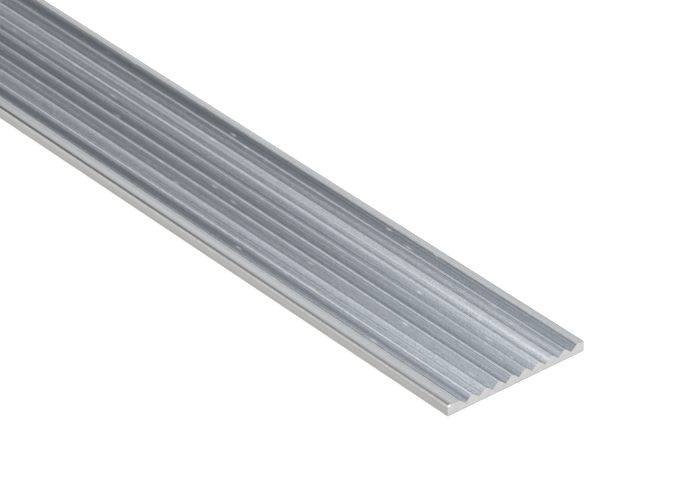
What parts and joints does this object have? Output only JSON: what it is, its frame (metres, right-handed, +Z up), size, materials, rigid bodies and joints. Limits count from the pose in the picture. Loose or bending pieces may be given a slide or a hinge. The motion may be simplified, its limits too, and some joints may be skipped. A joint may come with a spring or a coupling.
{
  "type": "threshold strip",
  "caption": "Flat extruded aluminium threshold strip with V-shaped anti-slip grooves between two plain borders, undrilled, sawn square at both ends.",
  "frame": {"origin": "centre of the flat underside", "axes": "+X along the strip, +Y across it from the wide front border to the narrow back border, +Z up from the underside to the grooved face"},
  "size_m": [0.9144, 0.0444, 0.0032],
  "materials": {
    "mill_aluminium": "mill finish: satin grey metal with fine die lines along the length and a light, matte saw-cut face at each end"
  },
  "bodies": {
    "root": {"fluted_strip": "mill_aluminium"}
  },
  "joints": []
}
